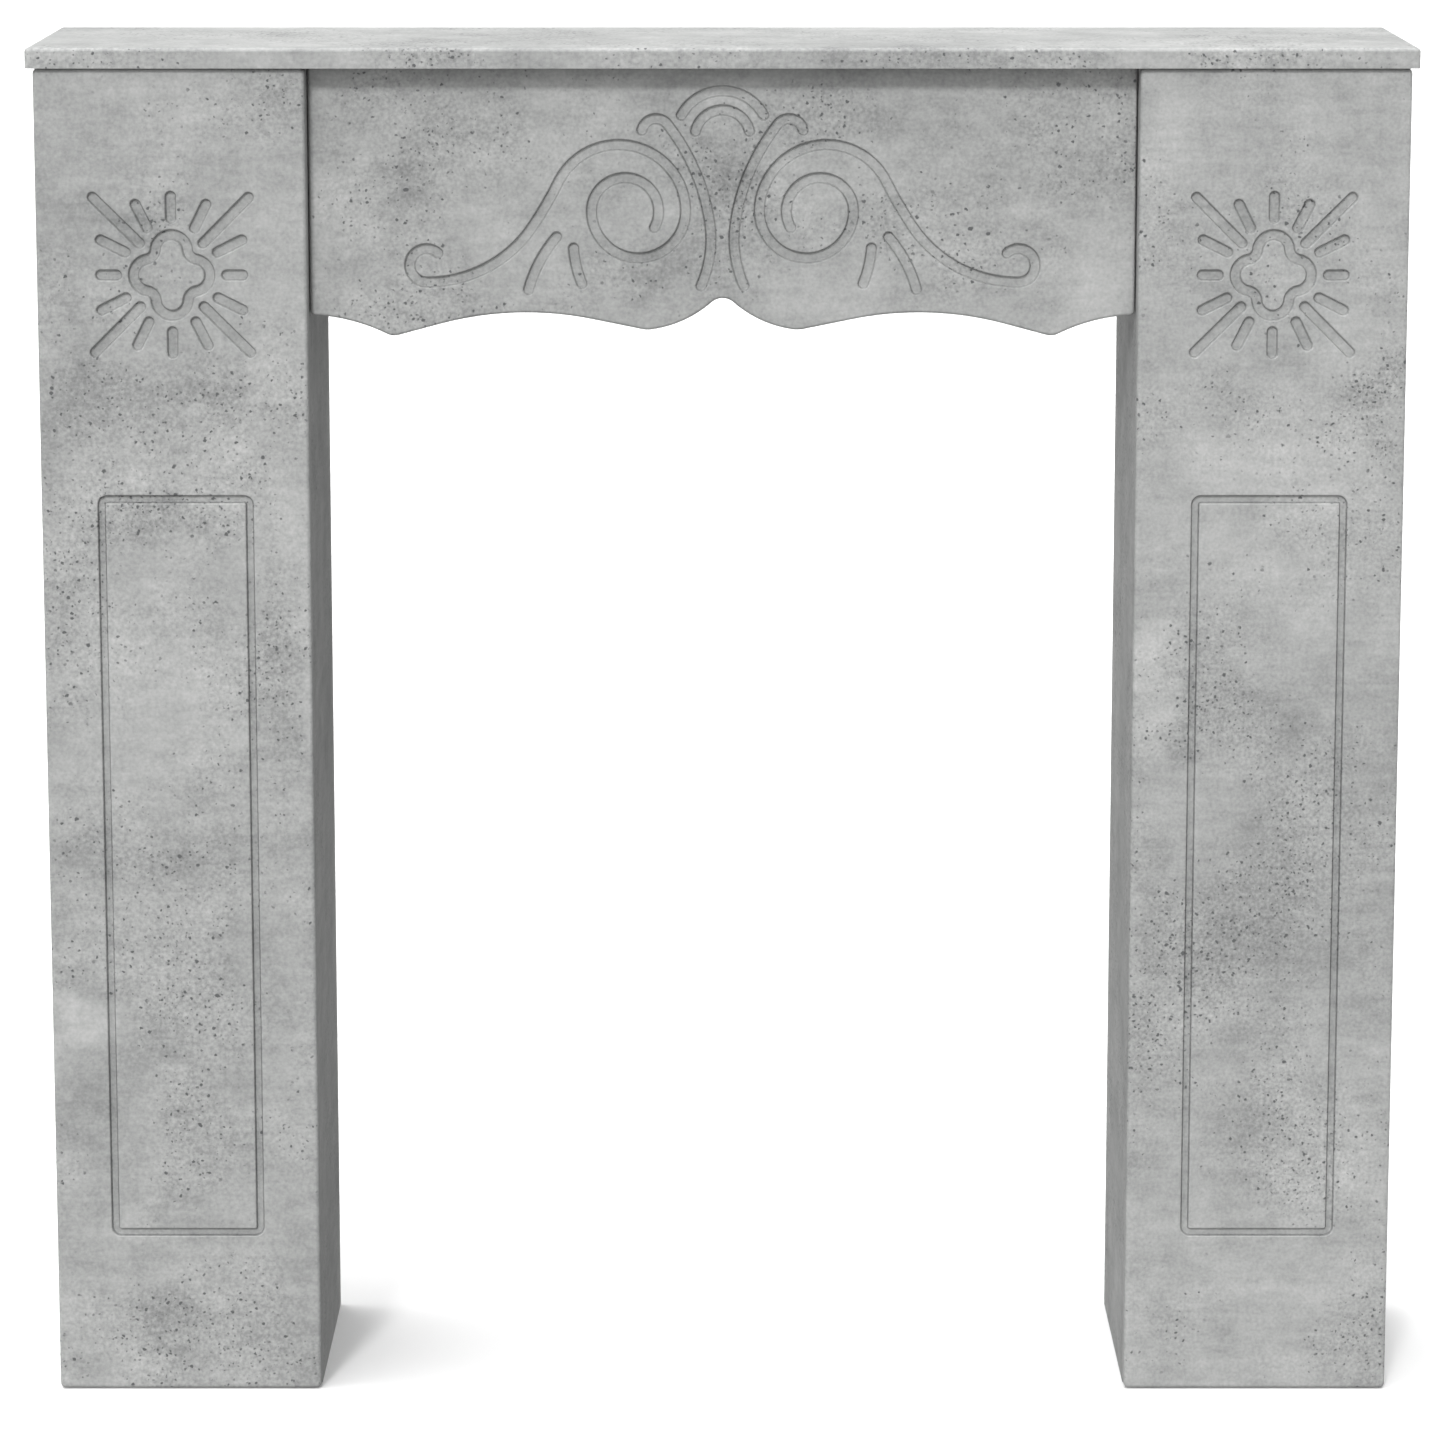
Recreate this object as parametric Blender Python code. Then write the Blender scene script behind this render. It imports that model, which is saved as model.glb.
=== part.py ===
"""Fireplace surround: two box legs, a scalloped frieze and a mantel shelf, all of foil-wrapped board.

Metres, +Z up, front towards -Y, origin on the floor under the middle of the shelf.
"""

import math

import bmesh
import bpy

for leftover in list(bpy.data.objects):
    bpy.data.objects.remove(leftover, do_unlink=True)

# Whole surround
TOTAL_HEIGHT = 1.020
OPENING_WIDTH = 0.612
LEG_WIDTH = 0.199
LEG_DEPTH = 0.220
JOINT_GAP = 0.0003  # left open between boards that touch

# Mantel shelf: one board, rounded over on top in front and at both ends
SHELF_THICKNESS = 0.015
SHELF_OVERHANG = 0.005  # in front and at both ends
SHELF_ROUND = 0.003

# Leg boards
PANEL_THICKNESS = 0.015
PANEL_ROUND = 0.003
PANEL_CORNER = 0.004
SIDE_THICKNESS = 0.015
SIDE_EASE = 0.001  # on the back edges

# Frieze board, set back between the legs
FRIEZE_THICKNESS = 0.015
FRIEZE_SETBACK = 0.020
FRIEZE_CLEARANCE = 0.001  # to each leg
FRIEZE_ROUND = 0.0022
FRIEZE_CORNER = 0.003

# Routed grooves: flat floor and sloping walls. A bit is its width at the face and at the floor
ORNAMENT_BIT = (0.0090, 0.0062)
FRAME_BIT = (0.0070, 0.0044)
GROOVE_DEPTH = 0.0035

# Tall rectangle routed in each leg's front, measured to the groove's centre line
FRAME_SIDE_MARGIN = 0.0446
FRAME_DROP = 0.3190  # below the shelf
FRAME_FOOT = 0.1234  # above the floor
FRAME_CORNER = 0.0033
INSIDE_CORNER = 0.0004  # least radius where the groove turns inside

# Rosette above it: a ring of four lobes and sixteen rays
ROSETTE_DROP = 0.1521  # centre below the shelf
LOBE_RADIUS = 0.0118
LOBE_RISE = 0.0180  # centre of the upper and lower lobes
LOBE_REACH = 0.0162  # centre of the lobes at the sides
NOTCH_RADIUS = 0.0080
UPRIGHT_RAY = (0.0420, 0.0580)  # inner and outer end, from the centre
LEVEL_RAY = (0.0406, 0.0522)
LONG_RAY = (0.0332, 0.0810)
STEEP_RAY = (0.0388, 0.0582)
SHALLOW_RAY = (0.0379, 0.0581)
LONG_RAY_LEAN = 45.0  # from upright
SIDE_RAY_LEAN = 26.5  # from upright for the steep rays, from level for the shallow ones

# Lower edge of the frieze from its middle outwards: runs of length and turn in degrees
PEAK_DROP = 0.1716  # below the shelf
SCALLOP_RUNS = (
    (0.0089, 41.3),
    (0.0490, -33.3),
    (0.0080, -19.5),
    (0.0366, 0.0),
    (0.1145, 26.5),
    (0.0318, 0.0),
    (0.0090, -41.3),
    (0.0550, 23.2),
)

# Scrollwork on the frieze's left half: start as (distance from the middle, drop below the shelf),
# first heading in degrees, then runs of length and turn
SCROLL = (
    (0.0503, 0.1191),
    -119.2,
    (
        (0.0905, 209.2),
        (0.0709, 117.3),
        (0.0402, 65.6),
        (0.1299, 150.4),
        (0.0377, -7.0),
        (0.0933, -56.7),
        (0.0481, -222.5),
    ),
)
CREST_STROKE = ((0.0594, 0.0471), -102.6, ((0.0240, -129.2), (0.0802, -30.0), (0.0477, -32.2)))
LONG_LEAF = ((0.1226, 0.1260), 49.0, ((0.0448, 25.6),))
SHORT_LEAF = ((0.1101, 0.1343), 93.8, ((0.0272, 18.3),))
HOOD_DROP = 0.0527  # centre of the two arcs over the middle, below the shelf
HOOD_RADII = (0.0345, 0.0204)
HOOD_HALF_ANGLES = (61.4, 76.6)  # in degrees, what each arc covers to either side

# How finely curves are cut into flats
CURVE_TOLERANCE = 0.0002
ROUND_STEPS = 2
CORNER_STEPS = 3
CAP_STEPS = 4
CUTTER_CLEARANCE = 0.001  # how far a cutter stands out of the face it cuts

SHELF_UNDERSIDE = TOTAL_HEIGHT - SHELF_THICKNESS
BOARD_TOP = SHELF_UNDERSIDE - JOINT_GAP
SHELF_DEPTH = LEG_DEPTH + SHELF_OVERHANG
BACK = SHELF_DEPTH / 2
LEG_FRONT = BACK - LEG_DEPTH
FRIEZE_FRONT = LEG_FRONT + FRIEZE_SETBACK
OPENING_HALF = OPENING_WIDTH / 2
LEG_OUTER = OPENING_HALF + LEG_WIDTH
LEG_MIDDLE = OPENING_HALF + LEG_WIDTH / 2
FRIEZE_HALF = OPENING_HALF - FRIEZE_CLEARANCE


def arc_path(start, heading, runs):
    """(x, y, heading) along tangent arcs and straights, cut so that no flat leaves its arc by the tolerance."""
    x, y = start
    angle = math.radians(heading)
    path = [(x, y, angle)]
    for length, turn in runs:
        steps = 1
        chord = length
        if turn:
            radius = length / math.radians(abs(turn))
            steps = math.ceil(length / math.sqrt(8 * radius * CURVE_TOLERANCE))
            half_step = math.radians(abs(turn)) / steps / 2
            chord = 2 * radius * math.sin(half_step)
        swing = math.radians(turn) / steps
        for _ in range(steps):
            x += chord * math.cos(angle + swing / 2)
            y += chord * math.sin(angle + swing / 2)
            angle += swing
            path.append((x, y, angle))
    return path


def arc_points(centre, radius, first, last, steps):
    """Points on a circle from one angle to another, in degrees, both ends included."""
    points = []
    for step in range(steps + 1):
        angle = math.radians(first + (last - first) * step / steps)
        points.append((centre[0] + radius * math.cos(angle), centre[1] + radius * math.sin(angle)))
    return points


def stroke_outline(path, spread):
    """The edge of a bit's track: both sides of the path at this distance and a half circle round each end."""
    outline = [(x + spread * math.sin(a), y - spread * math.cos(a)) for x, y, a in path]
    x, y, angle = path[-1]
    heading = math.degrees(angle)
    outline += arc_points((x, y), spread, heading - 90, heading + 90, CAP_STEPS)[1:-1]
    outline += [(x - spread * math.sin(a), y + spread * math.cos(a)) for x, y, a in reversed(path)]
    x, y, angle = path[0]
    heading = math.degrees(angle)
    outline += arc_points((x, y), spread, heading + 90, heading + 270, CAP_STEPS)[1:-1]
    return outline


def rounded_rectangle(left, right, bottom, top, radius):
    """An upright rectangle with round corners, anticlockwise from its lower left corner."""
    outline = []
    corners = (
        (left + radius, bottom + radius, 180),
        (right - radius, bottom + radius, 270),
        (right - radius, top - radius, 0),
        (left + radius, top - radius, 90),
    )
    for x, y, first in corners:
        outline += arc_points((x, y), radius, first, first + 90, CORNER_STEPS)
    return outline


def lobed_outline(spread):
    """The rosette's ring about its centre, this far outside its centre line: four lobes and four notches."""
    lobe = LOBE_RADIUS + spread
    notch = NOTCH_RADIUS - spread
    reach = LOBE_RADIUS + NOTCH_RADIUS
    between = math.hypot(LOBE_REACH, LOBE_RISE) / 2
    out = math.sqrt(reach**2 - between**2)
    slope = math.atan2(LOBE_REACH, LOBE_RISE)
    notch_x = LOBE_REACH / 2 + out * math.cos(slope)
    notch_y = LOBE_RISE / 2 + out * math.sin(slope)
    side_end = math.degrees(math.atan2(notch_y, notch_x - LOBE_REACH))
    upper_start = math.degrees(math.atan2(notch_y - LOBE_RISE, notch_x))
    quarter = arc_points((LOBE_REACH, 0), lobe, 0, side_end, 6)
    quarter += arc_points((notch_x, notch_y), notch, side_end + 180, upper_start + 180, 4)[1:-1]
    quarter += arc_points((0, LOBE_RISE), lobe, upper_start, 90, 6)
    half = quarter + [(-x, y) for x, y in reversed(quarter[:-1])]
    return half + [(x, -y) for x, y in reversed(half[1:-1])]


def inset_outline(outline, distance):
    """A closed anticlockwise outline moved inwards, each corner along its own bisector."""
    moved = []
    for index, (x, y) in enumerate(outline):
        before = outline[index - 1]
        after = outline[(index + 1) % len(outline)]
        first = math.atan2(y - before[1], x - before[0])
        second = math.atan2(after[1] - y, after[0] - x)
        bend = (second - first + math.pi) % (2 * math.pi) - math.pi
        bisector = first + bend / 2 + math.pi / 2
        reach = distance / math.cos(bend / 2)
        moved.append((x + reach * math.cos(bisector), y + reach * math.sin(bisector)))
    return moved


def add_ring(bm, y, outline):
    return [bm.verts.new((x, y, z)) for x, z in outline]


def add_walls(bm, first, second):
    count = len(first)
    for index in range(count):
        after = (index + 1) % count
        bm.faces.new((first[index], second[index], second[after], first[after]))


def add_solid(bm, levels):
    """A closed solid through outlines at rising depths, with as many points in each."""
    rings = [add_ring(bm, y, outline) for y, outline in levels]
    for first, second in zip(rings, rings[1:]):
        add_walls(bm, first, second)
    bm.faces.new(rings[0])
    bm.faces.new(rings[-1][::-1])


def add_loop_solid(bm, levels):
    """The same for a closed track: each level is a depth with its outer and its inner outline."""
    outer = [add_ring(bm, y, outline) for y, outline, _ in levels]
    inner = [add_ring(bm, y, outline) for y, _, outline in levels]
    for first, second in zip(outer, outer[1:]):
        add_walls(bm, first, second)
    for first, second in zip(inner, inner[1:]):
        add_walls(bm, second, first)
    add_walls(bm, inner[0], outer[0])
    add_walls(bm, outer[-1], inner[-1])


def foil_material(name, grey):
    material = bpy.data.materials.new(name)
    material.use_nodes = True
    shader = material.node_tree.nodes["Principled BSDF"]
    shader.inputs["Base Color"].default_value = (grey, grey, grey, 1.0)
    shader.inputs["Roughness"].default_value = 0.6
    shader.inputs["Metallic"].default_value = 0.0
    return material


def finish_object(name, bm, grey):
    """Turns a bmesh into a named object with its own foil material and smooth shading up to 30 degrees."""
    bmesh.ops.recalc_face_normals(bm, faces=bm.faces)
    mesh = bpy.data.meshes.new(name)
    bm.to_mesh(mesh)
    bm.free()
    mesh.materials.append(foil_material(f"concrete foil {name}", grey))
    mesh.shade_smooth()
    mesh.set_sharp_from_angle(angle=math.radians(30))
    obj = bpy.data.objects.new(name, mesh)
    bpy.context.scene.collection.objects.link(obj)
    return obj


def box_board(name, low, high, rounding, rounded, grey):
    """A board between two corners. rounded names its rounded edges by the side each lies on, per axis."""
    middle = [(a + b) / 2 for a, b in zip(low, high)]
    size = [b - a for a, b in zip(low, high)]
    bm = bmesh.new()
    bmesh.ops.create_cube(bm, size=1.0)
    edges = []
    for edge in bm.edges:
        centre = (edge.verts[0].co + edge.verts[1].co) / 2
        if tuple(round(2 * value) for value in centre) in rounded:
            edges.append(edge)
    bmesh.ops.scale(bm, verts=bm.verts, vec=size)
    bmesh.ops.bevel(bm, geom=edges, offset=rounding, segments=ROUND_STEPS, profile=0.5, affect="EDGES")
    bmesh.ops.translate(bm, verts=bm.verts, vec=middle)
    return finish_object(name, bm, grey)


def open_groove(path, place):
    """An ornament groove along a path: a bit, and a function from the spread to its one outline."""
    return ORNAMENT_BIT, lambda spread: (place(stroke_outline(path, spread)),)


def closed_groove(bit, shape):
    """A groove that runs round a shape: its outer and its inner outline."""
    return bit, lambda spread: (shape(spread), shape(-spread))


def routed_board(name, outline, front, thickness, rounding, grooves, grey):
    """A board with its front rim rounded over and grooves routed in its face."""
    bm = bmesh.new()
    levels = []
    for step in range(ROUND_STEPS + 1):
        angle = math.radians(90 * step / ROUND_STEPS)
        depth = rounding * (1 - math.cos(angle))
        levels.append((front + depth, inset_outline(outline, rounding * (1 - math.sin(angle)))))
    levels.append((front + thickness, outline))
    add_solid(bm, levels)
    board = finish_object(name, bm, grey)

    bm = bmesh.new()
    for (width, floor_width), outlines in grooves:
        flare = (width - floor_width) / 2 * CUTTER_CLEARANCE / GROOVE_DEPTH
        levels = (
            (front - CUTTER_CLEARANCE, *outlines(width / 2 + flare)),
            (front + GROOVE_DEPTH, *outlines(floor_width / 2)),
        )
        if len(levels[0]) == 2:
            add_solid(bm, levels)
        else:
            add_loop_solid(bm, levels)
    cutter = finish_object(f"{name}_router", bm, grey)
    cutter.hide_render = True
    cutter.display_type = "WIRE"
    cut = board.modifiers.new("grooves", "BOOLEAN")
    cut.operation = "DIFFERENCE"
    cut.solver = "EXACT"
    cut.object = cutter
    return board


def mantel_shelf():
    front = BACK - SHELF_DEPTH
    half = LEG_OUTER + SHELF_OVERHANG
    top_rim = {(0, -1, 1), (-1, 0, 1), (1, 0, 1)}
    front_corners = {(-1, -1, 0), (1, -1, 0)}
    box_board(
        "mantel_shelf",
        (-half, front, SHELF_UNDERSIDE),
        (half, BACK, TOTAL_HEIGHT),
        SHELF_ROUND,
        top_rim | front_corners,
        0.44,
    )


def ray_groove(x, z, lean, ends, right, up):
    """A straight groove that points away from the rosette's centre, leaning from upright to the side."""
    angle = math.radians(90 - lean)
    aim = (right * math.cos(angle), up * math.sin(angle))
    heading = math.atan2(aim[1], aim[0])
    path = [(x + reach * aim[0], z + reach * aim[1], heading) for reach in ends]
    return open_groove(path, list)


def rosette_grooves(x, z):
    grooves = []
    for up in (-1, 1):
        grooves.append(ray_groove(x, z, 0, UPRIGHT_RAY, 1, up))
    for right in (-1, 1):
        grooves.append(ray_groove(x, z, 90, LEVEL_RAY, right, 1))
    for right in (-1, 1):
        for up in (-1, 1):
            grooves.append(ray_groove(x, z, LONG_RAY_LEAN, LONG_RAY, right, up))
            grooves.append(ray_groove(x, z, SIDE_RAY_LEAN, STEEP_RAY, right, up))
            grooves.append(ray_groove(x, z, 90 - SIDE_RAY_LEAN, SHALLOW_RAY, right, up))
    return grooves


def leg_front_panel(name, side):
    inner = side * OPENING_HALF
    outer = side * LEG_OUTER
    left = min(inner, outer)
    right = max(inner, outer)
    middle = side * LEG_MIDDLE
    rosette_z = SHELF_UNDERSIDE - ROSETTE_DROP

    def ring(spread):
        return [(middle + x, rosette_z + z) for x, z in lobed_outline(spread)]

    def frame(spread):
        return rounded_rectangle(
            left + FRAME_SIDE_MARGIN - spread,
            right - FRAME_SIDE_MARGIN + spread,
            FRAME_FOOT - spread,
            SHELF_UNDERSIDE - FRAME_DROP + spread,
            max(FRAME_CORNER + spread, INSIDE_CORNER),
        )

    grooves = rosette_grooves(middle, rosette_z)
    grooves.append(closed_groove(ORNAMENT_BIT, ring))
    grooves.append(closed_groove(FRAME_BIT, frame))
    routed_board(
        name,
        rounded_rectangle(left, right, 0.0, BOARD_TOP, PANEL_CORNER),
        LEG_FRONT,
        PANEL_THICKNESS,
        PANEL_ROUND,
        grooves,
        0.41,
    )


def leg_side_board(name, low_x):
    box_board(
        name,
        (low_x, LEG_FRONT + PANEL_THICKNESS + JOINT_GAP, 0.0),
        (low_x + SIDE_THICKNESS, BACK, BOARD_TOP),
        SIDE_EASE,
        {(-1, 1, 0), (1, 1, 0)},
        0.40,
    )


def frieze_outline():
    """Scalloped below, round at its lower corners and square under the shelf."""
    end = FRIEZE_HALF - FRIEZE_CORNER
    half = [(x, SHELF_UNDERSIDE - drop) for x, drop, _ in arc_path((0.0, PEAK_DROP), 0.0, SCALLOP_RUNS)]
    half = [point for point in half if point[0] < end]
    heel = half[-1][1]
    half += arc_points((end, heel + FRIEZE_CORNER), FRIEZE_CORNER, 270, 360, CORNER_STEPS)
    half.append((FRIEZE_HALF, BOARD_TOP))
    return [(-x, z) for x, z in reversed(half[1:])] + half


def on_left(outline):
    """An outline drawn as (distance from the middle, drop below the shelf), on the frieze's left half."""
    return [(-distance, SHELF_UNDERSIDE - drop) for distance, drop in outline]


def on_right(outline):
    return [(distance, SHELF_UNDERSIDE - drop) for distance, drop in reversed(outline)]


def scrollwork_grooves():
    grooves = []
    for start, heading, runs in (SCROLL, CREST_STROKE, LONG_LEAF, SHORT_LEAF):
        path = arc_path(start, heading, runs)
        grooves.append(open_groove(path, on_left))
        grooves.append(open_groove(path, on_right))
    for radius, half_angle in zip(HOOD_RADII, HOOD_HALF_ANGLES):
        swing = math.radians(half_angle)
        start = (radius * math.sin(swing), HOOD_DROP - radius * math.cos(swing))
        path = arc_path(start, 180 + half_angle, ((2 * radius * swing, -2 * half_angle),))
        grooves.append(open_groove(path, on_left))
    return grooves


def frieze_panel():
    routed_board(
        "frieze_panel",
        frieze_outline(),
        FRIEZE_FRONT,
        FRIEZE_THICKNESS,
        FRIEZE_ROUND,
        scrollwork_grooves(),
        0.39,
    )


mantel_shelf()
leg_front_panel("left_front_panel", -1)
leg_front_panel("right_front_panel", 1)
leg_side_board("left_outer_side", -LEG_OUTER)
leg_side_board("left_inner_side", -OPENING_HALF - SIDE_THICKNESS)
leg_side_board("right_inner_side", OPENING_HALF)
leg_side_board("right_outer_side", LEG_OUTER - SIDE_THICKNESS)
frieze_panel()
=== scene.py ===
"""Fireplace surround in concrete-look foil: finished boards in place of the plain solids, and their studio.

Metres, +Z up, front towards -Y, the origin on the floor under the middle of the shelf.
"""

import math

import bmesh
import bpy
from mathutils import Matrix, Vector


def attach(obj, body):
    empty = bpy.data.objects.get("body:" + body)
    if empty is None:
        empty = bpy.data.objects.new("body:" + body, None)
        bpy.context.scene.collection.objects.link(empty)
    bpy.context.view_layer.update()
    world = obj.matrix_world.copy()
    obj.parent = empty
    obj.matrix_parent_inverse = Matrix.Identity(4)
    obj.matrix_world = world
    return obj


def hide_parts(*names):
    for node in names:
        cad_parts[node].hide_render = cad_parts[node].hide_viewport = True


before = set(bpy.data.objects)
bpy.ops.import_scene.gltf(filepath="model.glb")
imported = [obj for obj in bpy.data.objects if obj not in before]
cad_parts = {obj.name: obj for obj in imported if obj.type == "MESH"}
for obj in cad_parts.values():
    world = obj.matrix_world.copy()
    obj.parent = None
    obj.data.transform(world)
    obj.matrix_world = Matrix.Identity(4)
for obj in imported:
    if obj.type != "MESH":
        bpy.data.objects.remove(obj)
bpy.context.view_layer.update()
bpy.ops.object.select_all(action="DESELECT")

# Leg sides: four plain boards, two to a leg, square in front where the front panel covers them and
# slightly eased behind. Each is 15 mm fibreboard wrapped in printed foil, held by fittings inside the leg.

HEIGHT = 1.020
BOARD = 0.015
OPENING_WIDTH = 0.612
LEG_WIDTH = 0.199
LEG_DEPTH = 0.220
SHELF_OVERHANG = 0.005
JOINT_GAP = 0.0003
FOLDED_EDGE = 0.0004  # the foil's own fold round a square edge
EASED_EDGE = 0.001
HAIR = 1e-6  # what lies nearer to a plane than this lies on it
UNDERSIDE = HEIGHT - BOARD
BOARD_TOP = UNDERSIDE - JOINT_GAP
BACK = (LEG_DEPTH + SHELF_OVERHANG) / 2
LEG_FRONT = BACK - LEG_DEPTH
OPENING_HALF = OPENING_WIDTH / 2
LEG_OUTER = OPENING_HALF + LEG_WIDTH


def linear(code):
    """An sRGB hex colour as the linear colour that shaders take."""
    channels = []
    for start in (1, 3, 5):
        value = int(code[start : start + 2], 16) / 255
        channels.append(value / 12.92 if value <= 0.04045 else ((value + 0.055) / 1.055) ** 2.4)
    return (*channels, 1.0)


def add(tree, kind, inputs=(), **settings):
    """Adds a shader node with its settings. Each input is a value, or the socket that feeds it."""
    made = tree.nodes.new(kind)
    for setting, value in settings.items():
        setattr(made, setting, value)
    for socket, value in dict(inputs).items():
        if isinstance(value, bpy.types.NodeSocket):
            tree.links.new(value, made.inputs[socket])
        else:
            made.inputs[socket].default_value = value
    return made


def concrete_foil(name, drift, smudges=()):
    """Matt printed foil that copies cast concrete: cloudy and sandy, with trowel streaks and dark blowholes.

    It is too matt to mirror anything, and shows a broad soft sheen at a low angle. A smudge is (x, z, half
    width, half height, lighter, holes) in mm: a soft place that is lighter than the print round it, or darker
    below zero, and has more blowholes, or fewer below zero.
    """
    material = bpy.data.materials.new(name)
    material.use_nodes = True
    tree = material.node_tree
    shader = tree.nodes["Principled BSDF"]
    place = add(tree, "ShaderNodeTexCoord").outputs["Object"]
    drifted = {"Vector": place, "Location": drift}
    print_place = add(tree, "ShaderNodeMapping", drifted).outputs["Vector"]

    # Clouds, mottling, streaks drawn out sideways and coarse sand. Each has its size in mm, its detail and
    # roughness, how much it is squeezed upright, and its strength.
    tone = 0.5
    for size, detail, roughness, squeeze, strength in (
        (210, 4, 0.60, 1.0, 0.48),
        (46, 5, 0.62, 1.0, 0.50),
        (60, 5, 0.65, 7.0, 0.32),
        (9, 3, 0.60, 1.0, 0.24),
    ):
        squeezed = {"Vector": print_place, "Scale": (1.0, 1.0, squeeze)}
        drawn = add(tree, "ShaderNodeMapping", squeezed).outputs["Vector"]
        look = {"Vector": drawn, "Scale": 1000 / size, "Detail": detail, "Roughness": roughness}
        layer = add(tree, "ShaderNodeTexNoise", look).outputs["Fac"]
        layer = add(tree, "ShaderNodeMath", {0: layer, 1: 0.5}, operation="SUBTRACT").outputs[0]
        laid = {0: layer, 1: strength, 2: tone}
        tone = add(tree, "ShaderNodeMath", laid, operation="MULTIPLY_ADD").outputs[0]

    # Where blowholes crowd, in patches about 90 mm across.
    patches = {"Vector": print_place, "Scale": 1000 / 90, "Detail": 3}
    patches = add(tree, "ShaderNodeTexNoise", patches).outputs["Fac"]
    patches = {"Value": patches, "From Min": 0.38, "From Max": 0.74}
    crowding = add(tree, "ShaderNodeMapRange", patches, interpolation_type="SMOOTHSTEP").outputs["Result"]

    # The smudges, on coordinates that a 45 mm noise pushes 30 mm about, so that their rims are ragged.
    ragged = {"Vector": print_place, "Scale": 1000 / 45, "Detail": 3}
    ragged = add(tree, "ShaderNodeTexNoise", ragged).outputs["Color"]
    ragged = {0: ragged, 1: (0.06, 0.0, 0.06), 2: (-0.03, 0.0, -0.03)}
    ragged = add(tree, "ShaderNodeVectorMath", ragged, operation="MULTIPLY_ADD").outputs["Vector"]
    ragged = add(tree, "ShaderNodeVectorMath", {0: place, 1: ragged}, operation="ADD").outputs["Vector"]
    for x, z, half_width, half_height, lighter, holes in smudges:
        where = {
            "Vector": ragged,
            "Location": (x / 1000, 0.0, z / 1000),
            "Scale": (half_width / 1000, 1000.0, half_height / 1000),
        }
        away = add(tree, "ShaderNodeMapping", where, vector_type="TEXTURE").outputs["Vector"]
        away = add(tree, "ShaderNodeVectorMath", {0: away}, operation="LENGTH").outputs["Value"]
        within = {"Value": away, "From Min": 0.35, "From Max": 1.35, "To Min": 1.0, "To Max": 0.0}
        within = add(tree, "ShaderNodeMapRange", within, interpolation_type="SMOOTHSTEP").outputs["Result"]
        laid = {0: within, 1: lighter, 2: tone}
        tone = add(tree, "ShaderNodeMath", laid, operation="MULTIPLY_ADD").outputs[0]
        if holes:
            laid = {0: within, 1: holes, 2: crowding}
            crowding = add(tree, "ShaderNodeMath", laid, operation="MULTIPLY_ADD").outputs[0]
    crowding = add(tree, "ShaderNodeClamp", {"Value": crowding, "Max": 1.4}).outputs["Result"]

    # Fine sand, half a millimetre on the real print and drawn at 2.6 mm so that it shows.
    sand = {"Vector": print_place, "Scale": 1000 / 2.6, "Detail": 2}
    sand = add(tree, "ShaderNodeTexNoise", sand).outputs["Fac"]
    sand = add(tree, "ShaderNodeMath", {0: sand, 1: 0.5}, operation="SUBTRACT").outputs[0]
    coarse = {0: crowding, 1: 0.44, 2: 0.36}
    coarse = add(tree, "ShaderNodeMath", coarse, operation="MULTIPLY_ADD").outputs[0]
    laid = {0: sand, 1: coarse, 2: tone}
    tone = add(tree, "ShaderNodeMath", laid, operation="MULTIPLY_ADD").outputs[0]

    # Blowholes of three sizes, their outlines broken up: cell in mm, reach in cells, share of cells filled
    # and depth of tone.
    broken = {"Vector": print_place, "Scale": 1000 / 3.0, "Detail": 1}
    broken = add(tree, "ShaderNodeTexNoise", broken).outputs["Color"]
    broken = {0: broken, 1: (0.0030, 0.0030, 0.0022), 2: print_place}
    broken = add(tree, "ShaderNodeVectorMath", broken, operation="MULTIPLY_ADD").outputs["Vector"]
    for cell, reach, share, depth in (
        (3.4, 0.34, 0.55, 0.42),
        (5.6, 0.27, 0.55, 0.62),
        (13.0, 0.15, 0.50, 0.66),
    ):
        cells = add(tree, "ShaderNodeTexVoronoi", {"Vector": broken, "Scale": 1000 / cell})
        chance = add(tree, "ShaderNodeSeparateColor", {"Color": cells.outputs["Color"]}).outputs["Red"]
        filled = {0: crowding, 1: share, 2: chance}
        filled = add(tree, "ShaderNodeMath", filled, operation="MULTIPLY_ADD").outputs[0]
        filled = {"Value": filled, "From Min": 0.96, "From Max": 1.12}
        filled = add(tree, "ShaderNodeMapRange", filled).outputs["Result"]
        hole = {
            "Value": cells.outputs["Distance"],
            "From Min": reach * 0.4,
            "From Max": reach,
            "To Min": 1.0,
            "To Max": 0.0,
        }
        hole = add(tree, "ShaderNodeMapRange", hole, interpolation_type="SMOOTHSTEP").outputs["Result"]
        hole = add(tree, "ShaderNodeMath", {0: hole, 1: filled}, operation="MULTIPLY").outputs[0]
        laid = {0: hole, 1: -depth, 2: tone}
        tone = add(tree, "ShaderNodeMath", laid, operation="MULTIPLY_ADD").outputs[0]

    # The print is darkened on the grooves' floors and walls: painted shade, standing in for the shade that
    # falls in them.
    painted_groove_shade = add(tree, "ShaderNodeAttribute", attribute_name="painted_groove_shade").outputs["Fac"]
    tone = add(tree, "ShaderNodeMath", {0: tone, 1: painted_groove_shade}, operation="SUBTRACT").outputs[0]
    ramp = add(tree, "ShaderNodeValToRGB", {"Fac": tone})
    stops = ramp.color_ramp.elements
    stops[0].position, stops[0].color = 0.0, linear("#58595a")
    stops[1].position, stops[1].color = 1.0, linear("#cacac9")
    middle = stops.new(0.5)
    middle.color = linear("#9e9f9e")
    tree.links.new(ramp.outputs["Color"], shader.inputs["Base Color"])
    shader.inputs["Roughness"].default_value = 0.62
    shader.inputs["IOR"].default_value = 1.48
    return material


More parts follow.
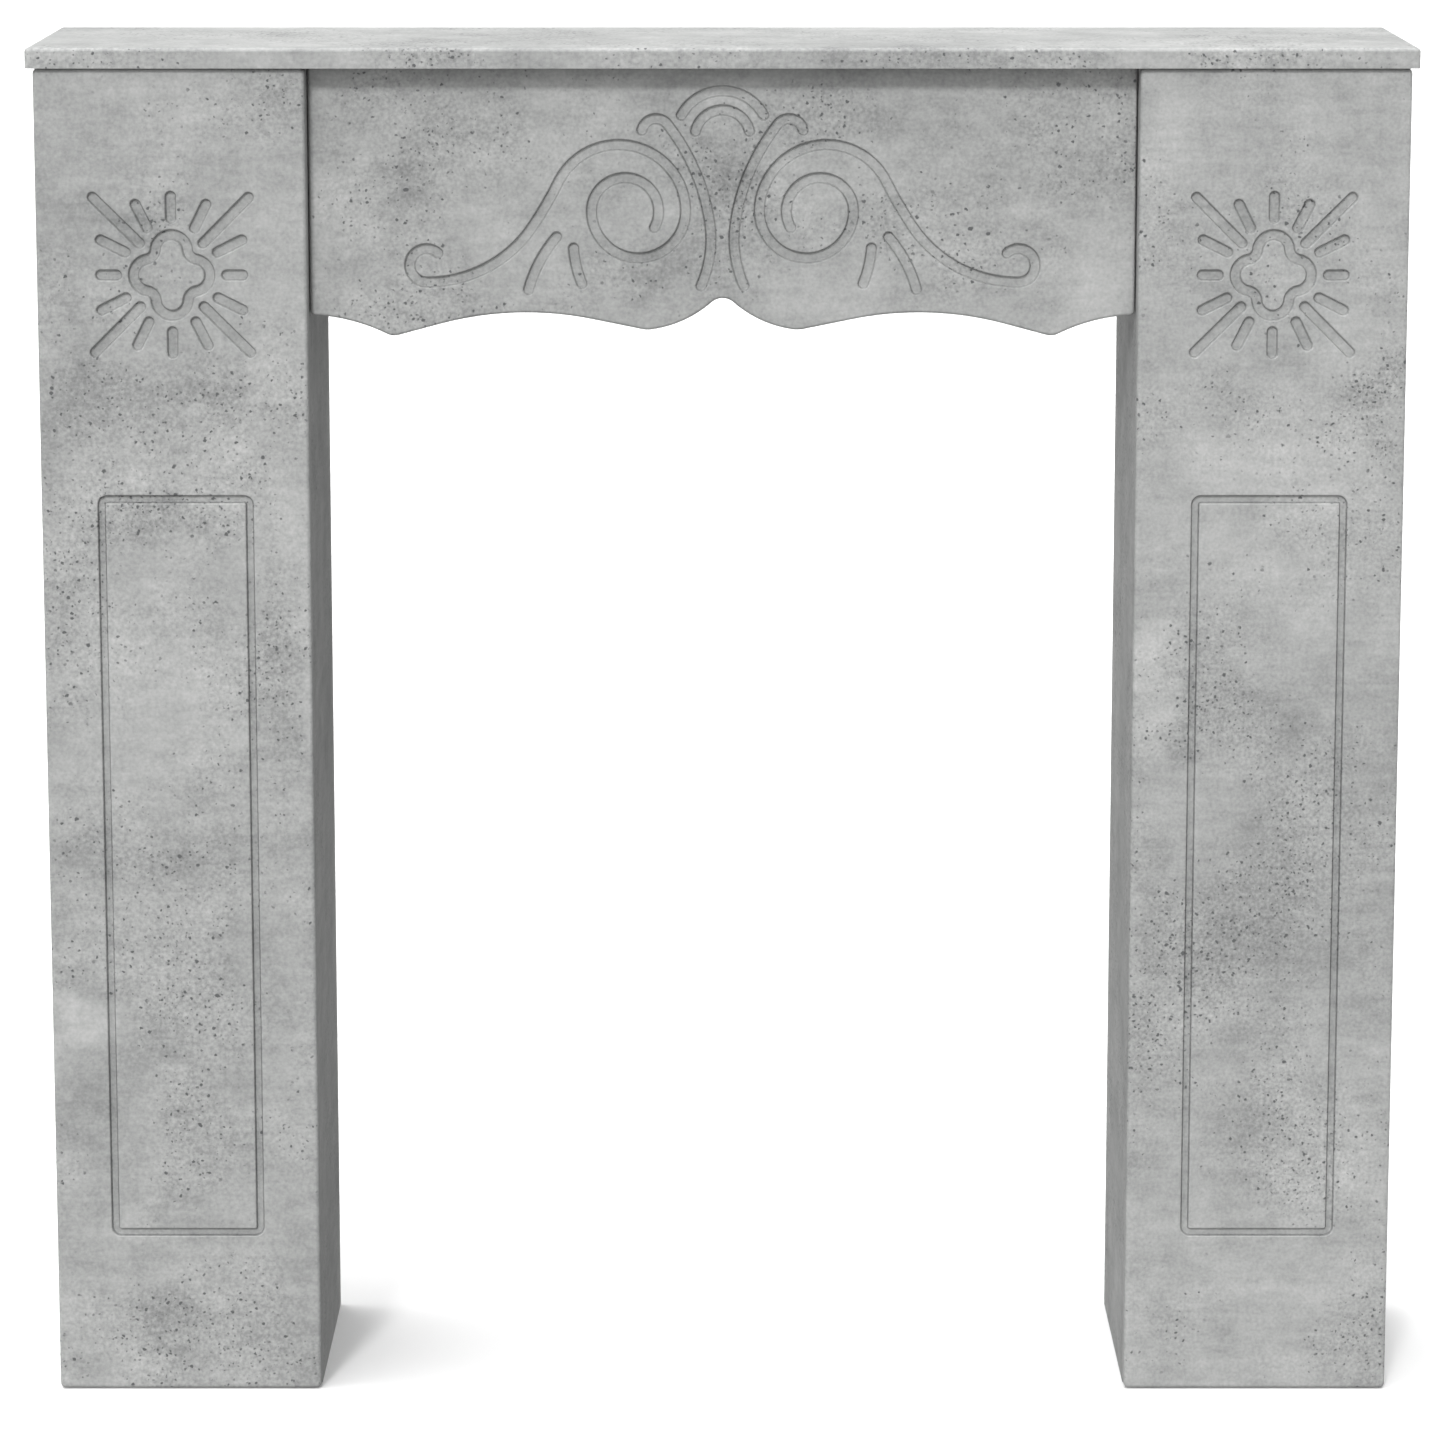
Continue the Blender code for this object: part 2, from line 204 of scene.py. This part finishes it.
def pick_edges(test):
    """Selects the edges of the mesh in edit mode whose two ends pass the test."""
    bpy.ops.mesh.select_mode(type="EDGE")
    bpy.ops.mesh.select_all(action="DESELECT")
    shape = bmesh.from_edit_mesh(bpy.context.object.data)
    for edge in shape.edges:
        edge.select_set(test(edge.verts[0].co, edge.verts[1].co))
    bmesh.update_edit_mesh(bpy.context.object.data)


def add_board(name, low, high):
    """A square-edged board between two corners, left in edit mode."""
    size = [b - a for a, b in zip(low, high)]
    middle = [(a + b) / 2 for a, b in zip(low, high)]
    bpy.ops.mesh.primitive_cube_add(size=1.0, location=middle, scale=size)
    bpy.ops.object.transform_apply(location=True, rotation=True, scale=True)
    bpy.context.object.name = name
    bpy.ops.object.mode_set(mode="EDIT")
    return bpy.context.object


def round_edges(radius, segments, test):
    """Rounds over the edges whose two ends pass the test."""
    pick_edges(test)
    bpy.ops.mesh.bevel(offset=radius, offset_type="OFFSET", segments=segments, affect="EDGES")


def copy_board(board, name, shift):
    """A copy of a board with its own mesh, moved sideways."""
    bpy.ops.object.select_all(action="DESELECT")
    board.select_set(True)
    bpy.context.view_layer.objects.active = board
    bpy.ops.object.duplicate()
    bpy.ops.transform.translate(value=(shift, 0.0, 0.0))
    bpy.ops.object.transform_apply(location=True, rotation=True, scale=True)
    bpy.context.object.name = name
    return bpy.context.object


def wrap_in_foil(board, material, node):
    """Gives a board its foil, smooth rounds and flat faces, and sets it in place of its plain solid."""
    bpy.ops.object.select_all(action="DESELECT")
    board.select_set(True)
    bpy.context.view_layer.objects.active = board
    board.data.materials.clear()
    board.data.materials.append(material)
    bpy.ops.object.shade_smooth_by_angle(angle=math.radians(40))
    bpy.ops.object.modifier_add(type="WEIGHTED_NORMAL")
    board.modifiers[-1].keep_sharp = True
    bpy.ops.object.modifier_apply(modifier=board.modifiers[-1].name)
    bpy.ops.object.select_all(action="DESELECT")
    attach(board, "root")
    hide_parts(node)


left_outer = add_board(
    "left_outer_side_board",
    (-LEG_OUTER, LEG_FRONT + BOARD + JOINT_GAP, 0.0),
    (BOARD - LEG_OUTER, BACK, BOARD_TOP),
)
round_edges(EASED_EDGE, 3, lambda a, b: min(a.y, b.y) > BACK - HAIR and abs(a.z - b.z) > HEIGHT / 2)
round_edges(FOLDED_EDGE, 2, lambda a, b: max(a.z, b.z) < HAIR or min(a.z, b.z) > BOARD_TOP - HAIR)
bpy.ops.object.mode_set(mode="OBJECT")
left_inner = copy_board(left_outer, "left_inner_side_board", LEG_WIDTH - BOARD)
right_inner = copy_board(left_outer, "right_inner_side_board", LEG_OUTER + OPENING_HALF)
right_outer = copy_board(left_outer, "right_outer_side_board", 2 * LEG_OUTER - BOARD)
for board, node, drift in (
    (left_outer, "left_outer_side", (1.3, 0.4, 0.2)),
    (left_inner, "left_inner_side", (2.1, 1.4, 0.7)),
    (right_inner, "right_inner_side", (0.6, 2.3, 1.9)),
    (right_outer, "right_outer_side", (3.2, 0.1, 2.6)),
):
    side_foil = concrete_foil(f"concrete foil, {node.replace('_', ' ')}", drift)
    wrap_in_foil(board, side_foil, node)

# Leg front panels: a board across each leg's sides, its rim rounded over before the foil was pressed on. A
# router cut the tall frame and the rosette above it with a flat-ended bit, and the foil follows the grooves.

PANEL_ROUND = 0.003
PANEL_CORNER = 0.004
GROOVE_DEPTH = 0.0035
GROOVE_LIP = 0.0011  # rounding of the face into the groove
GROOVE_FILLET = 0.0006
WALL_SLOPE = math.radians(74.0)
LIP_START = math.radians(12.0)  # how far round the lip the cutter meets the face
LIP_STEPS = 4
FILLET_STEPS = 3
END_STEPS = 12  # flats in the half circle at a groove's end
LIP_DEPTH = 0.0004
# From the groove's centre line to where its lip begins, then how much painted shade darkens the print on the
# groove's floor and on its walls.
ORNAMENT_BIT = (0.0050, 0.02, 0.06)
FRAME_BIT = (0.0039, 0.05, 0.22)
STEEP = 0.6  # a groove's face is its wall where the y of its normal is under this
CUTTER_SKIM = 0.00005  # how far the cutter's section runs on above the face before it turns up
CUTTER_RISE = 0.001
SAG = 0.00002  # how far a flat may leave its arc
SNAP = 0.00002  # points closer than this are one
FRAME_SIDE_MARGIN = 0.0446
FRAME_DROP = 0.3190
FRAME_FOOT = 0.1234
FRAME_CORNER = 0.0042
ROSETTE_DROP = 0.1521
LOBE_RADIUS = 0.0118
LOBE_RISE = 0.0180
LOBE_REACH = 0.0162
NOTCH_RADIUS = 0.0080
UPRIGHT_RAY = (0.0420, 0.0580)
LEVEL_RAY = (0.0406, 0.0522)
LONG_RAY = (0.0332, 0.0810)
STEEP_RAY = (0.0388, 0.0582)
SHALLOW_RAY = (0.0379, 0.0581)
SIDE_RAY_LEAN = 26.5
LEG_MIDDLE = OPENING_HALF + LEG_WIDTH / 2


def groove_section(reach):
    """Half of the groove's section as (distance from its centre line, depth), from above the face down."""
    lip_depth = GROOVE_LIP * (1 - math.cos(LIP_START))
    flare = reach - GROOVE_LIP * math.sin(LIP_START) + (lip_depth + CUTTER_SKIM) / math.tan(LIP_START)
    points = [(0.0, -CUTTER_RISE), (flare, -CUTTER_RISE), (flare, -CUTTER_SKIM)]
    for step in range(LIP_STEPS + 1):
        turn = LIP_START + (WALL_SLOPE - LIP_START) * step / LIP_STEPS
        points.append((reach - GROOVE_LIP * math.sin(turn), GROOVE_LIP * (1 - math.cos(turn))))
    wall_x, wall_depth = points[-1]
    fillet_depth = GROOVE_DEPTH - GROOVE_FILLET * (1 - math.cos(WALL_SLOPE))
    fillet_x = wall_x - (fillet_depth - wall_depth) / math.tan(WALL_SLOPE)
    for step in range(FILLET_STEPS + 1):
        turn = WALL_SLOPE * (1 - step / FILLET_STEPS)
        x = fillet_x - GROOVE_FILLET * (math.sin(WALL_SLOPE) - math.sin(turn))
        points.append((x, GROOVE_DEPTH - GROOVE_FILLET * (1 - math.cos(turn))))
    points.append((0.0, GROOVE_DEPTH))
    return points


def start_line(x, y, z):
    """A new mesh that is one point, in edit mode."""
    bpy.ops.object.select_all(action="DESELECT")
    bpy.ops.mesh.primitive_plane_add(size=0.001, location=(0.0, 0.0, 0.0))
    bpy.ops.object.mode_set(mode="EDIT")
    bpy.ops.mesh.select_mode(type="VERT")
    bpy.ops.mesh.select_all(action="SELECT")
    bpy.ops.mesh.merge(type="CENTER")
    bpy.ops.transform.translate(value=(x, y, z))
    return bpy.context.object


def follow(x, y, z, heading, runs, widest=0.0):
    """Draws what is selected along arcs and straights in the plane of a board, and returns where it ends."""
    for length, turn in runs:
        if turn:
            radius = length / math.radians(abs(turn))
            side = math.copysign(1.0, turn)
            centre = (x - side * radius * math.sin(heading), y, z + side * radius * math.cos(heading))
            step = 2 * math.acos(1 - SAG / (radius + widest))
            steps = max(2, math.ceil(math.radians(abs(turn)) / step))
            bpy.ops.mesh.spin(steps=steps, angle=math.radians(turn), center=centre, axis=(0.0, 1.0, 0.0))
            after = heading + math.radians(turn)
            x = centre[0] + side * radius * math.sin(after)
            z = centre[2] - side * radius * math.cos(after)
            heading = after
        else:
            move = (length * math.cos(heading), 0.0, length * math.sin(heading))
            bpy.ops.mesh.extrude_region_move(TRANSFORM_OT_translate={"value": move})
            x += move[0]
            z += move[2]
    return x, z, heading


def select_side(x, z, heading, both):
    """Keeps selected what lies on the line across the path here, on both of its sides or on its left."""
    shape = bmesh.from_edit_mesh(bpy.context.object.data)
    ahead = Vector((math.cos(heading), 0.0, math.sin(heading)))
    left = Vector((-math.sin(heading), 0.0, math.cos(heading)))
    kept = []
    for vertex in shape.verts:
        away = vertex.co - Vector((x, vertex.co.y, z))
        near = vertex.select and abs(away.dot(ahead)) < SNAP
        kept.append(near and (both or away.dot(left) > -SNAP))
    for vertex, keep in zip(shape.verts, kept):
        vertex.select_set(keep)
    shape.select_flush_mode()
    bmesh.update_edit_mesh(bpy.context.object.data)


def rout(face, x, z, heading, runs, bit, closed=False):
    """The body that a bit sweeps out of a board, along the runs from a point, or round a closed ring."""
    heading = math.radians(heading)
    reach, painted_floor_shade, painted_wall_shade = bit
    section = groove_section(reach)
    left = (-math.sin(heading), math.cos(heading))
    swept = start_line(x, face - CUTTER_RISE, z)
    across = section + [(-away, depth) for away, depth in reversed(section[:-1])] if closed else section
    for (away, depth), (next_away, next_depth) in zip(across, across[1:]):
        step = next_away - away
        bpy.ops.mesh.extrude_vertices_move(
            TRANSFORM_OT_translate={"value": (step * left[0], next_depth - depth, step * left[1])}
        )
    bpy.ops.mesh.select_all(action="SELECT")
    if not closed:
        bpy.ops.mesh.spin(steps=END_STEPS, angle=math.pi, center=(x, face, z), axis=(0.0, 1.0, 0.0))
        bpy.ops.mesh.select_all(action="SELECT")
        bpy.ops.mesh.remove_doubles(threshold=SNAP)
        select_side(x, z, heading, True)
    x, z, heading = follow(x, face, z, heading, runs, reach)
    if not closed:
        select_side(x, z, heading, False)
        bpy.ops.mesh.spin(steps=END_STEPS, angle=-math.pi, center=(x, face, z), axis=(0.0, 1.0, 0.0))
    bpy.ops.mesh.select_all(action="SELECT")
    bpy.ops.mesh.remove_doubles(threshold=SNAP)
    bpy.ops.mesh.normals_make_consistent(inside=False)
    bpy.ops.object.mode_set(mode="OBJECT")
    # Painted shade: each face below the lip is darkened in the print, the steep walls more than the floor.
    painted_groove_shade = swept.data.attributes.new("painted_groove_shade", "FLOAT", "FACE")
    for polygon, value in zip(swept.data.polygons, painted_groove_shade.data):
        if polygon.center.y - face > LIP_DEPTH:
            value.value = painted_wall_shade if abs(polygon.normal.y) < STEEP else painted_floor_shade
    return swept


def cut(board, bodies):
    """Takes the swept bodies out of a board."""
    bpy.ops.object.select_all(action="DESELECT")
    for body in bodies:
        body.select_set(True)
    bpy.context.view_layer.objects.active = bodies[0]
    bpy.ops.object.join()
    bodies = bpy.context.object
    bpy.ops.object.select_all(action="DESELECT")
    board.select_set(True)
    bpy.context.view_layer.objects.active = board
    bpy.ops.object.modifier_add(type="BOOLEAN")
    grooves = board.modifiers[-1]
    grooves.operation = "DIFFERENCE"
    grooves.solver = "EXACT"
    grooves.object = bodies
    bpy.ops.object.modifier_apply(modifier=grooves.name)
    bpy.data.objects.remove(bodies, do_unlink=True)


def arc(radius, turn):
    """A run (length, turn) round an arc of this radius."""
    return radius * math.radians(abs(turn)), turn


panel_left = -LEG_OUTER
panel_right = -OPENING_HALF
left_panel = add_board(
    "left_front_panel_board", (panel_left, LEG_FRONT, 0.0), (panel_right, LEG_FRONT + BOARD, BOARD_TOP)
)
round_edges(PANEL_CORNER, 6, lambda a, b: abs(a.y - b.y) > BOARD / 2)
round_edges(PANEL_ROUND, 5, lambda a, b: max(a.y, b.y) < LEG_FRONT + HAIR)
bpy.ops.object.mode_set(mode="OBJECT")

rosette_x = -LEG_MIDDLE
rosette_z = UNDERSIDE - ROSETTE_DROP
swept = []
for inner_end, outer_end, lean in (
    (*UPRIGHT_RAY, 0.0),
    (*STEEP_RAY, SIDE_RAY_LEAN),
    (*LONG_RAY, 45.0),
    (*SHALLOW_RAY, 90.0 - SIDE_RAY_LEAN),
    (*LEVEL_RAY, 90.0),
):
    for heading in sorted({90 - lean, 90 + lean, 270 - lean, 270 + lean} if lean < 90 else {0.0, 180.0}):
        aim = math.radians(heading)
        x = rosette_x + inner_end * math.cos(aim)
        z = rosette_z + inner_end * math.sin(aim)
        swept.append(rout(LEG_FRONT, x, z, heading, ((outer_end - inner_end, 0),), ORNAMENT_BIT))

touching = LOBE_RADIUS + NOTCH_RADIUS
halfway = math.hypot(LOBE_REACH, LOBE_RISE) / 2
out = math.sqrt(touching**2 - halfway**2)
slope = math.atan2(LOBE_REACH, LOBE_RISE)
notch_x = LOBE_REACH / 2 + out * math.cos(slope)
notch_z = LOBE_RISE / 2 + out * math.sin(slope)
side_turn = math.degrees(math.atan2(notch_z, notch_x - LOBE_REACH))
upper_start = math.degrees(math.atan2(notch_z - LOBE_RISE, notch_x))
side_lobe = arc(LOBE_RADIUS, side_turn)
upper_lobe = arc(LOBE_RADIUS, 180 - 2 * upper_start)
notch = arc(NOTCH_RADIUS, upper_start - side_turn)
ring = (side_lobe, notch, upper_lobe, notch, side_lobe, side_lobe, notch, upper_lobe, notch, side_lobe)
ring_x = rosette_x + LOBE_REACH + LOBE_RADIUS
swept.append(rout(LEG_FRONT, ring_x, rosette_z, 90, ring, ORNAMENT_BIT, closed=True))

frame_left = panel_left + FRAME_SIDE_MARGIN
frame_right = panel_right - FRAME_SIDE_MARGIN
frame_top = UNDERSIDE - FRAME_DROP
corner = arc(FRAME_CORNER, 90)
width = (frame_right - frame_left - 2 * FRAME_CORNER, 0)
height = (frame_top - FRAME_FOOT - 2 * FRAME_CORNER, 0)
tall_frame = (width, corner, height, corner, width, corner, height, corner)
swept.append(rout(LEG_FRONT, frame_left + FRAME_CORNER, FRAME_FOOT, 0, tall_frame, FRAME_BIT, closed=True))
cut(left_panel, swept)
right_panel = copy_board(left_panel, "right_front_panel_board", 2 * LEG_MIDDLE)
left_smudges = (
    (-462, 905, 30, 30, 0.08, 0.0),
    (-400, 930, 90, 60, 0.0, -0.4),
    (-412, 757, 95, 36, -0.05, 0.6),
    (-460, 772, 36, 28, -0.10, 0.2),
    (-372, 772, 28, 28, -0.10, 0.2),
    (-406, 672, 60, 20, -0.09, 0.3),
    (-417, 556, 50, 42, 0.05, -0.4),
    (-400, 260, 90, 110, -0.05, 0.0),
    (-331, 550, 20, 110, -0.08, 0.5),
    (-417, 411, 85, 26, -0.09, 0.2),
    (-483, 292, 26, 20, 0.18, -0.3),
    (-486, 214, 24, 32, -0.12, 0.0),
    (-428, 64, 32, 28, -0.14, 0.2),
)
right_smudges = (
    (321, 957, 20, 50, 0.12, 0.0),
    (470, 738, 40, 44, -0.05, 0.9),
    (488, 778, 26, 24, -0.05, 1.1),
    (417, 711, 70, 36, 0.11, -0.2),
    (321, 540, 18, 60, 0.16, -0.3),
    (406, 524, 26, 32, -0.08, 0.2),
    (396, 365, 62, 66, -0.14, 0.4),
    (400, 600, 70, 60, 0.08, 0.0),
    (324, 369, 16, 70, -0.12, 0.0),
    (428, 198, 70, 60, 0.0, 0.6),
)
left_foil = concrete_foil("concrete foil, left front", (0.0, 0.0, 0.0), left_smudges)
right_foil = concrete_foil("concrete foil, right front", (0.0, 0.7, 0.0), right_smudges)
wrap_in_foil(left_panel, left_foil, "left_front_panel")
wrap_in_foil(right_panel, right_foil, "right_front_panel")

# Frieze: one board between the legs, 20 mm behind their faces and hard under the shelf. Its lower edge was
# cut to a scalloped line and rounded over. The same bit cut two mirrored scrolls with leaves, and a hood.

FRIEZE_SETBACK = 0.020
FRIEZE_ROUND = 0.0022
FRIEZE_CORNER = 0.003
PEAK_DROP = 0.1716
SCALLOP_RUNS = (
    (0.0089, 41.3),
    (0.0490, -33.3),
    (0.0080, -19.5),
    (0.0366, 0.0),
    (0.1145, 26.5),
    (0.0318, 0.0),
    (0.0090, -41.3),
    (0.0555, 23.4),
)
SCROLL = (
    (0.0503, 0.1191),
    -119.2,
    (
        (0.0905, 209.2),
        (0.0709, 117.3),
        (0.0402, 65.6),
        (0.1299, 150.4),
        (0.0377, -7.0),
        (0.0933, -56.7),
        (0.0481, -222.5),
    ),
)
CREST_STROKE = ((0.0594, 0.0471), -102.6, ((0.0240, -129.2), (0.0802, -30.0), (0.0477, -32.2)))
LONG_LEAF = ((0.1226, 0.1260), 49.0, ((0.0448, 25.6),))
SHORT_LEAF = ((0.1101, 0.1343), 93.8, ((0.0272, 18.3),))
HOOD_DROP = 0.0527
HOOD_ARCS = ((0.0345, 61.4), (0.0204, 76.6))
FRIEZE_FRONT = LEG_FRONT + FRIEZE_SETBACK

# Drawn from the peak in the middle to the right heel, over the top, and back along the left half. The ends
# stay 1 mm clear of the legs.
right_half = [(length, -turn) for length, turn in SCALLOP_RUNS]
left_half = right_half[::-1]
frieze = start_line(0.0, FRIEZE_FRONT, UNDERSIDE - PEAK_DROP)
frieze.name = "frieze_board"
x, z, heading = follow(0.0, FRIEZE_FRONT, UNDERSIDE - PEAK_DROP, 0.0, right_half)
heel = arc(FRIEZE_CORNER, 90 - math.degrees(heading))
x, z, heading = follow(x, FRIEZE_FRONT, z, heading, (heel,))
rise = (BOARD_TOP - z, 0)
across = (2 * x, 0)
x, z, heading = follow(x, FRIEZE_FRONT, z, math.pi / 2, (rise,))
x, z, heading = follow(x, FRIEZE_FRONT, z, math.pi, (across,))
x, z, heading = follow(x, FRIEZE_FRONT, z, -math.pi / 2, (rise, heel))
x, z, heading = follow(x, FRIEZE_FRONT, z, heading, left_half)
bpy.ops.mesh.select_all(action="SELECT")
bpy.ops.mesh.remove_doubles(threshold=SNAP)
bpy.ops.mesh.edge_face_add()
bpy.ops.mesh.extrude_region_move(TRANSFORM_OT_translate={"value": (0.0, BOARD, 0.0)})
bpy.ops.mesh.select_all(action="SELECT")
bpy.ops.mesh.normals_make_consistent(inside=False)
round_edges(FRIEZE_ROUND, 4, lambda a, b: max(a.y, b.y) < FRIEZE_FRONT + HAIR)
bpy.ops.object.mode_set(mode="OBJECT")

swept = []
for (away, drop), heading, runs in (SCROLL, CREST_STROKE, LONG_LEAF, SHORT_LEAF):
    mirrored = [(length, -turn) for length, turn in runs]
    swept.append(rout(FRIEZE_FRONT, -away, UNDERSIDE - drop, heading + 180, runs, ORNAMENT_BIT))
    swept.append(rout(FRIEZE_FRONT, away, UNDERSIDE - drop, -heading, mirrored, ORNAMENT_BIT))
for radius, half_angle in HOOD_ARCS:
    swing = math.radians(half_angle)
    x = -radius * math.sin(swing)
    z = UNDERSIDE - HOOD_DROP + radius * math.cos(swing)
    swept.append(rout(FRIEZE_FRONT, x, z, half_angle, (arc(radius, -2 * half_angle),), ORNAMENT_BIT))
cut(frieze, swept)
frieze_smudges = (
    (-278, 967, 30, 28, -0.12, 0.2),
    (-273, 898, 28, 32, 0.10, 0.6),
    (-214, 946, 44, 40, -0.08, 0.3),
    (0, 892, 40, 60, -0.12, 0.5),
    (-64, 850, 45, 22, -0.12, 0.2),
    (64, 914, 30, 30, 0.10, 0.0),
    (245, 920, 80, 55, -0.07, 0.0),
    (60, 965, 60, 25, 0.0, 0.7),
)
frieze_foil = concrete_foil("concrete foil, frieze", (1.7, 0.3, 1.1), frieze_smudges)
wrap_in_foil(frieze, frieze_foil, "frieze_panel")

# Mantel shelf: one board laid over the legs and the frieze, 5 mm proud in front and at both ends. Its upper
# rim and front corners are rounded over, its underside is square, and it is screwed down from below.

SHELF_ROUND = 0.003
shelf = add_board(
    "mantel_shelf_board",
    (-LEG_OUTER - SHELF_OVERHANG, -BACK, UNDERSIDE),
    (LEG_OUTER + SHELF_OVERHANG, BACK, HEIGHT),
)
round_edges(
    SHELF_ROUND,
    5,
    lambda a, b: (min(a.z, b.z) > HEIGHT - HAIR and min(a.y, b.y) < BACK - HAIR)
    or (abs(a.z - b.z) > BOARD / 2 and max(a.y, b.y) < HAIR - BACK),
)
bpy.ops.object.mode_set(mode="OBJECT")
shelf_smudges = ((-202, 1011, 40, 8, -0.08, 0.9), (372, 1011, 55, 8, -0.05, 0.9))
shelf_foil = concrete_foil("concrete foil, shelf", (0.9, 1.9, 0.5), shelf_smudges)
wrap_in_foil(shelf, shelf_foil, "mantel_shelf")

# Studio: a plain pale floor up to a far white wall, one soft key from the upper left in front, broad lights
# overhead, in front and at the right, and a pale surround. The camera stands 4.06 m from the legs' faces.

FLOOR_SIZE = 80.0
FLOOR_DROP = 0.0005  # keeps it clear of the boards' lower edges
WALL_RADIUS = 39.0
WALL_HEIGHT = 24.0

floor_material = bpy.data.materials.new("matt white studio floor")
floor_material.use_nodes = True
floor_material.node_tree.nodes["Principled BSDF"].inputs["Base Color"].default_value = linear("#f4f4f4")
floor_material.node_tree.nodes["Principled BSDF"].inputs["Roughness"].default_value = 0.9
bpy.ops.mesh.primitive_plane_add(size=FLOOR_SIZE, location=(0.0, 0.0, -FLOOR_DROP))
floor = bpy.context.object
floor.name = "studio_floor"
floor.data.materials.append(floor_material)
# The surround below the horizon gives the light that comes up from the floor.
floor.visible_diffuse = False
floor.visible_glossy = False

wall_material = bpy.data.materials.new("lit white studio wall")
wall_material.use_nodes = True
wall_shader = wall_material.node_tree.nodes["Principled BSDF"]
wall_shader.inputs["Base Color"].default_value = linear("#000000")
wall_shader.inputs["Emission Color"].default_value = linear("#ffffff")
wall_shader.inputs["Emission Strength"].default_value = 1.0
bpy.ops.mesh.primitive_cylinder_add(
    vertices=96, radius=WALL_RADIUS, depth=WALL_HEIGHT, end_fill_type="NOTHING"
)
wall = bpy.context.object
wall.name = "studio_wall"
wall.data.materials.append(wall_material)
# It is only looked at: the lights and the surround reach the object through it.
wall.visible_diffuse = False
wall.visible_glossy = False
wall.visible_shadow = False

towards_key = Vector((-0.22, -1.0, 0.67))
bpy.ops.object.light_add(type="SUN", rotation=towards_key.to_track_quat("Z", "Y").to_euler())
key = bpy.context.object
key.name = "key"
key.data.energy = 1.5
key.data.angle = math.radians(8.0)

bpy.ops.object.light_add(type="SUN", rotation=(0.0, math.radians(-8.0), 0.0))
overhead = bpy.context.object
overhead.name = "overhead light"
overhead.data.energy = 2.3
overhead.data.angle = math.radians(35.0)

towards_fill = Vector((-0.05, -1.0, 0.25))
bpy.ops.object.light_add(type="SUN", rotation=towards_fill.to_track_quat("Z", "Y").to_euler())
fill = bpy.context.object
fill.name = "front fill"
fill.data.energy = 0.7
fill.data.angle = math.radians(60.0)

towards_side = Vector((1.0, 0.01, 0.20))
bpy.ops.object.light_add(type="SUN", rotation=towards_side.to_track_quat("Z", "Y").to_euler())
side_light = bpy.context.object
side_light.name = "side light"
side_light.data.energy = 0.8
side_light.data.angle = math.radians(4.0)

surround = bpy.data.worlds.new("pale studio")
surround.use_nodes = True
sky = surround.node_tree
outward = add(sky, "ShaderNodeTexCoord").outputs["Generated"]
outward = add(sky, "ShaderNodeSeparateXYZ", {"Vector": outward})
heights = {"Value": outward.outputs["Z"], "From Min": -0.1, "From Max": 0.1, "To Min": 0.38, "To Max": 0.68}
by_height = add(sky, "ShaderNodeMapRange", heights).outputs["Result"]
sides = {"Value": outward.outputs["X"], "From Min": -1.0, "From Max": 1.0, "To Min": 1.38, "To Max": 0.65}
by_side = add(sky, "ShaderNodeMapRange", sides).outputs["Result"]
strength = add(sky, "ShaderNodeMath", {0: by_height, 1: by_side}, operation="MULTIPLY").outputs[0]
sky.links.new(strength, sky.nodes["Background"].inputs["Strength"])
sky.nodes["Background"].inputs["Color"].default_value = (1.0, 1.0, 1.0, 1.0)
scene = bpy.context.scene
scene.world = surround
scene.view_settings.view_transform = "Standard"

EYE_HEIGHT = 1.308
EYE_DISTANCE = 4.060
CAMERA_TIP = 10.12  # degrees below level
bpy.ops.object.camera_add(
    location=(0.0, LEG_FRONT - EYE_DISTANCE, EYE_HEIGHT),
    rotation=(math.radians(90 - CAMERA_TIP), 0.0, 0.0),
)
camera = bpy.context.object
camera.data.sensor_width = 36.0
camera.data.lens = 138.0
camera.data.shift_y = -0.06
camera.data.clip_end = 200.0
scene.camera = camera
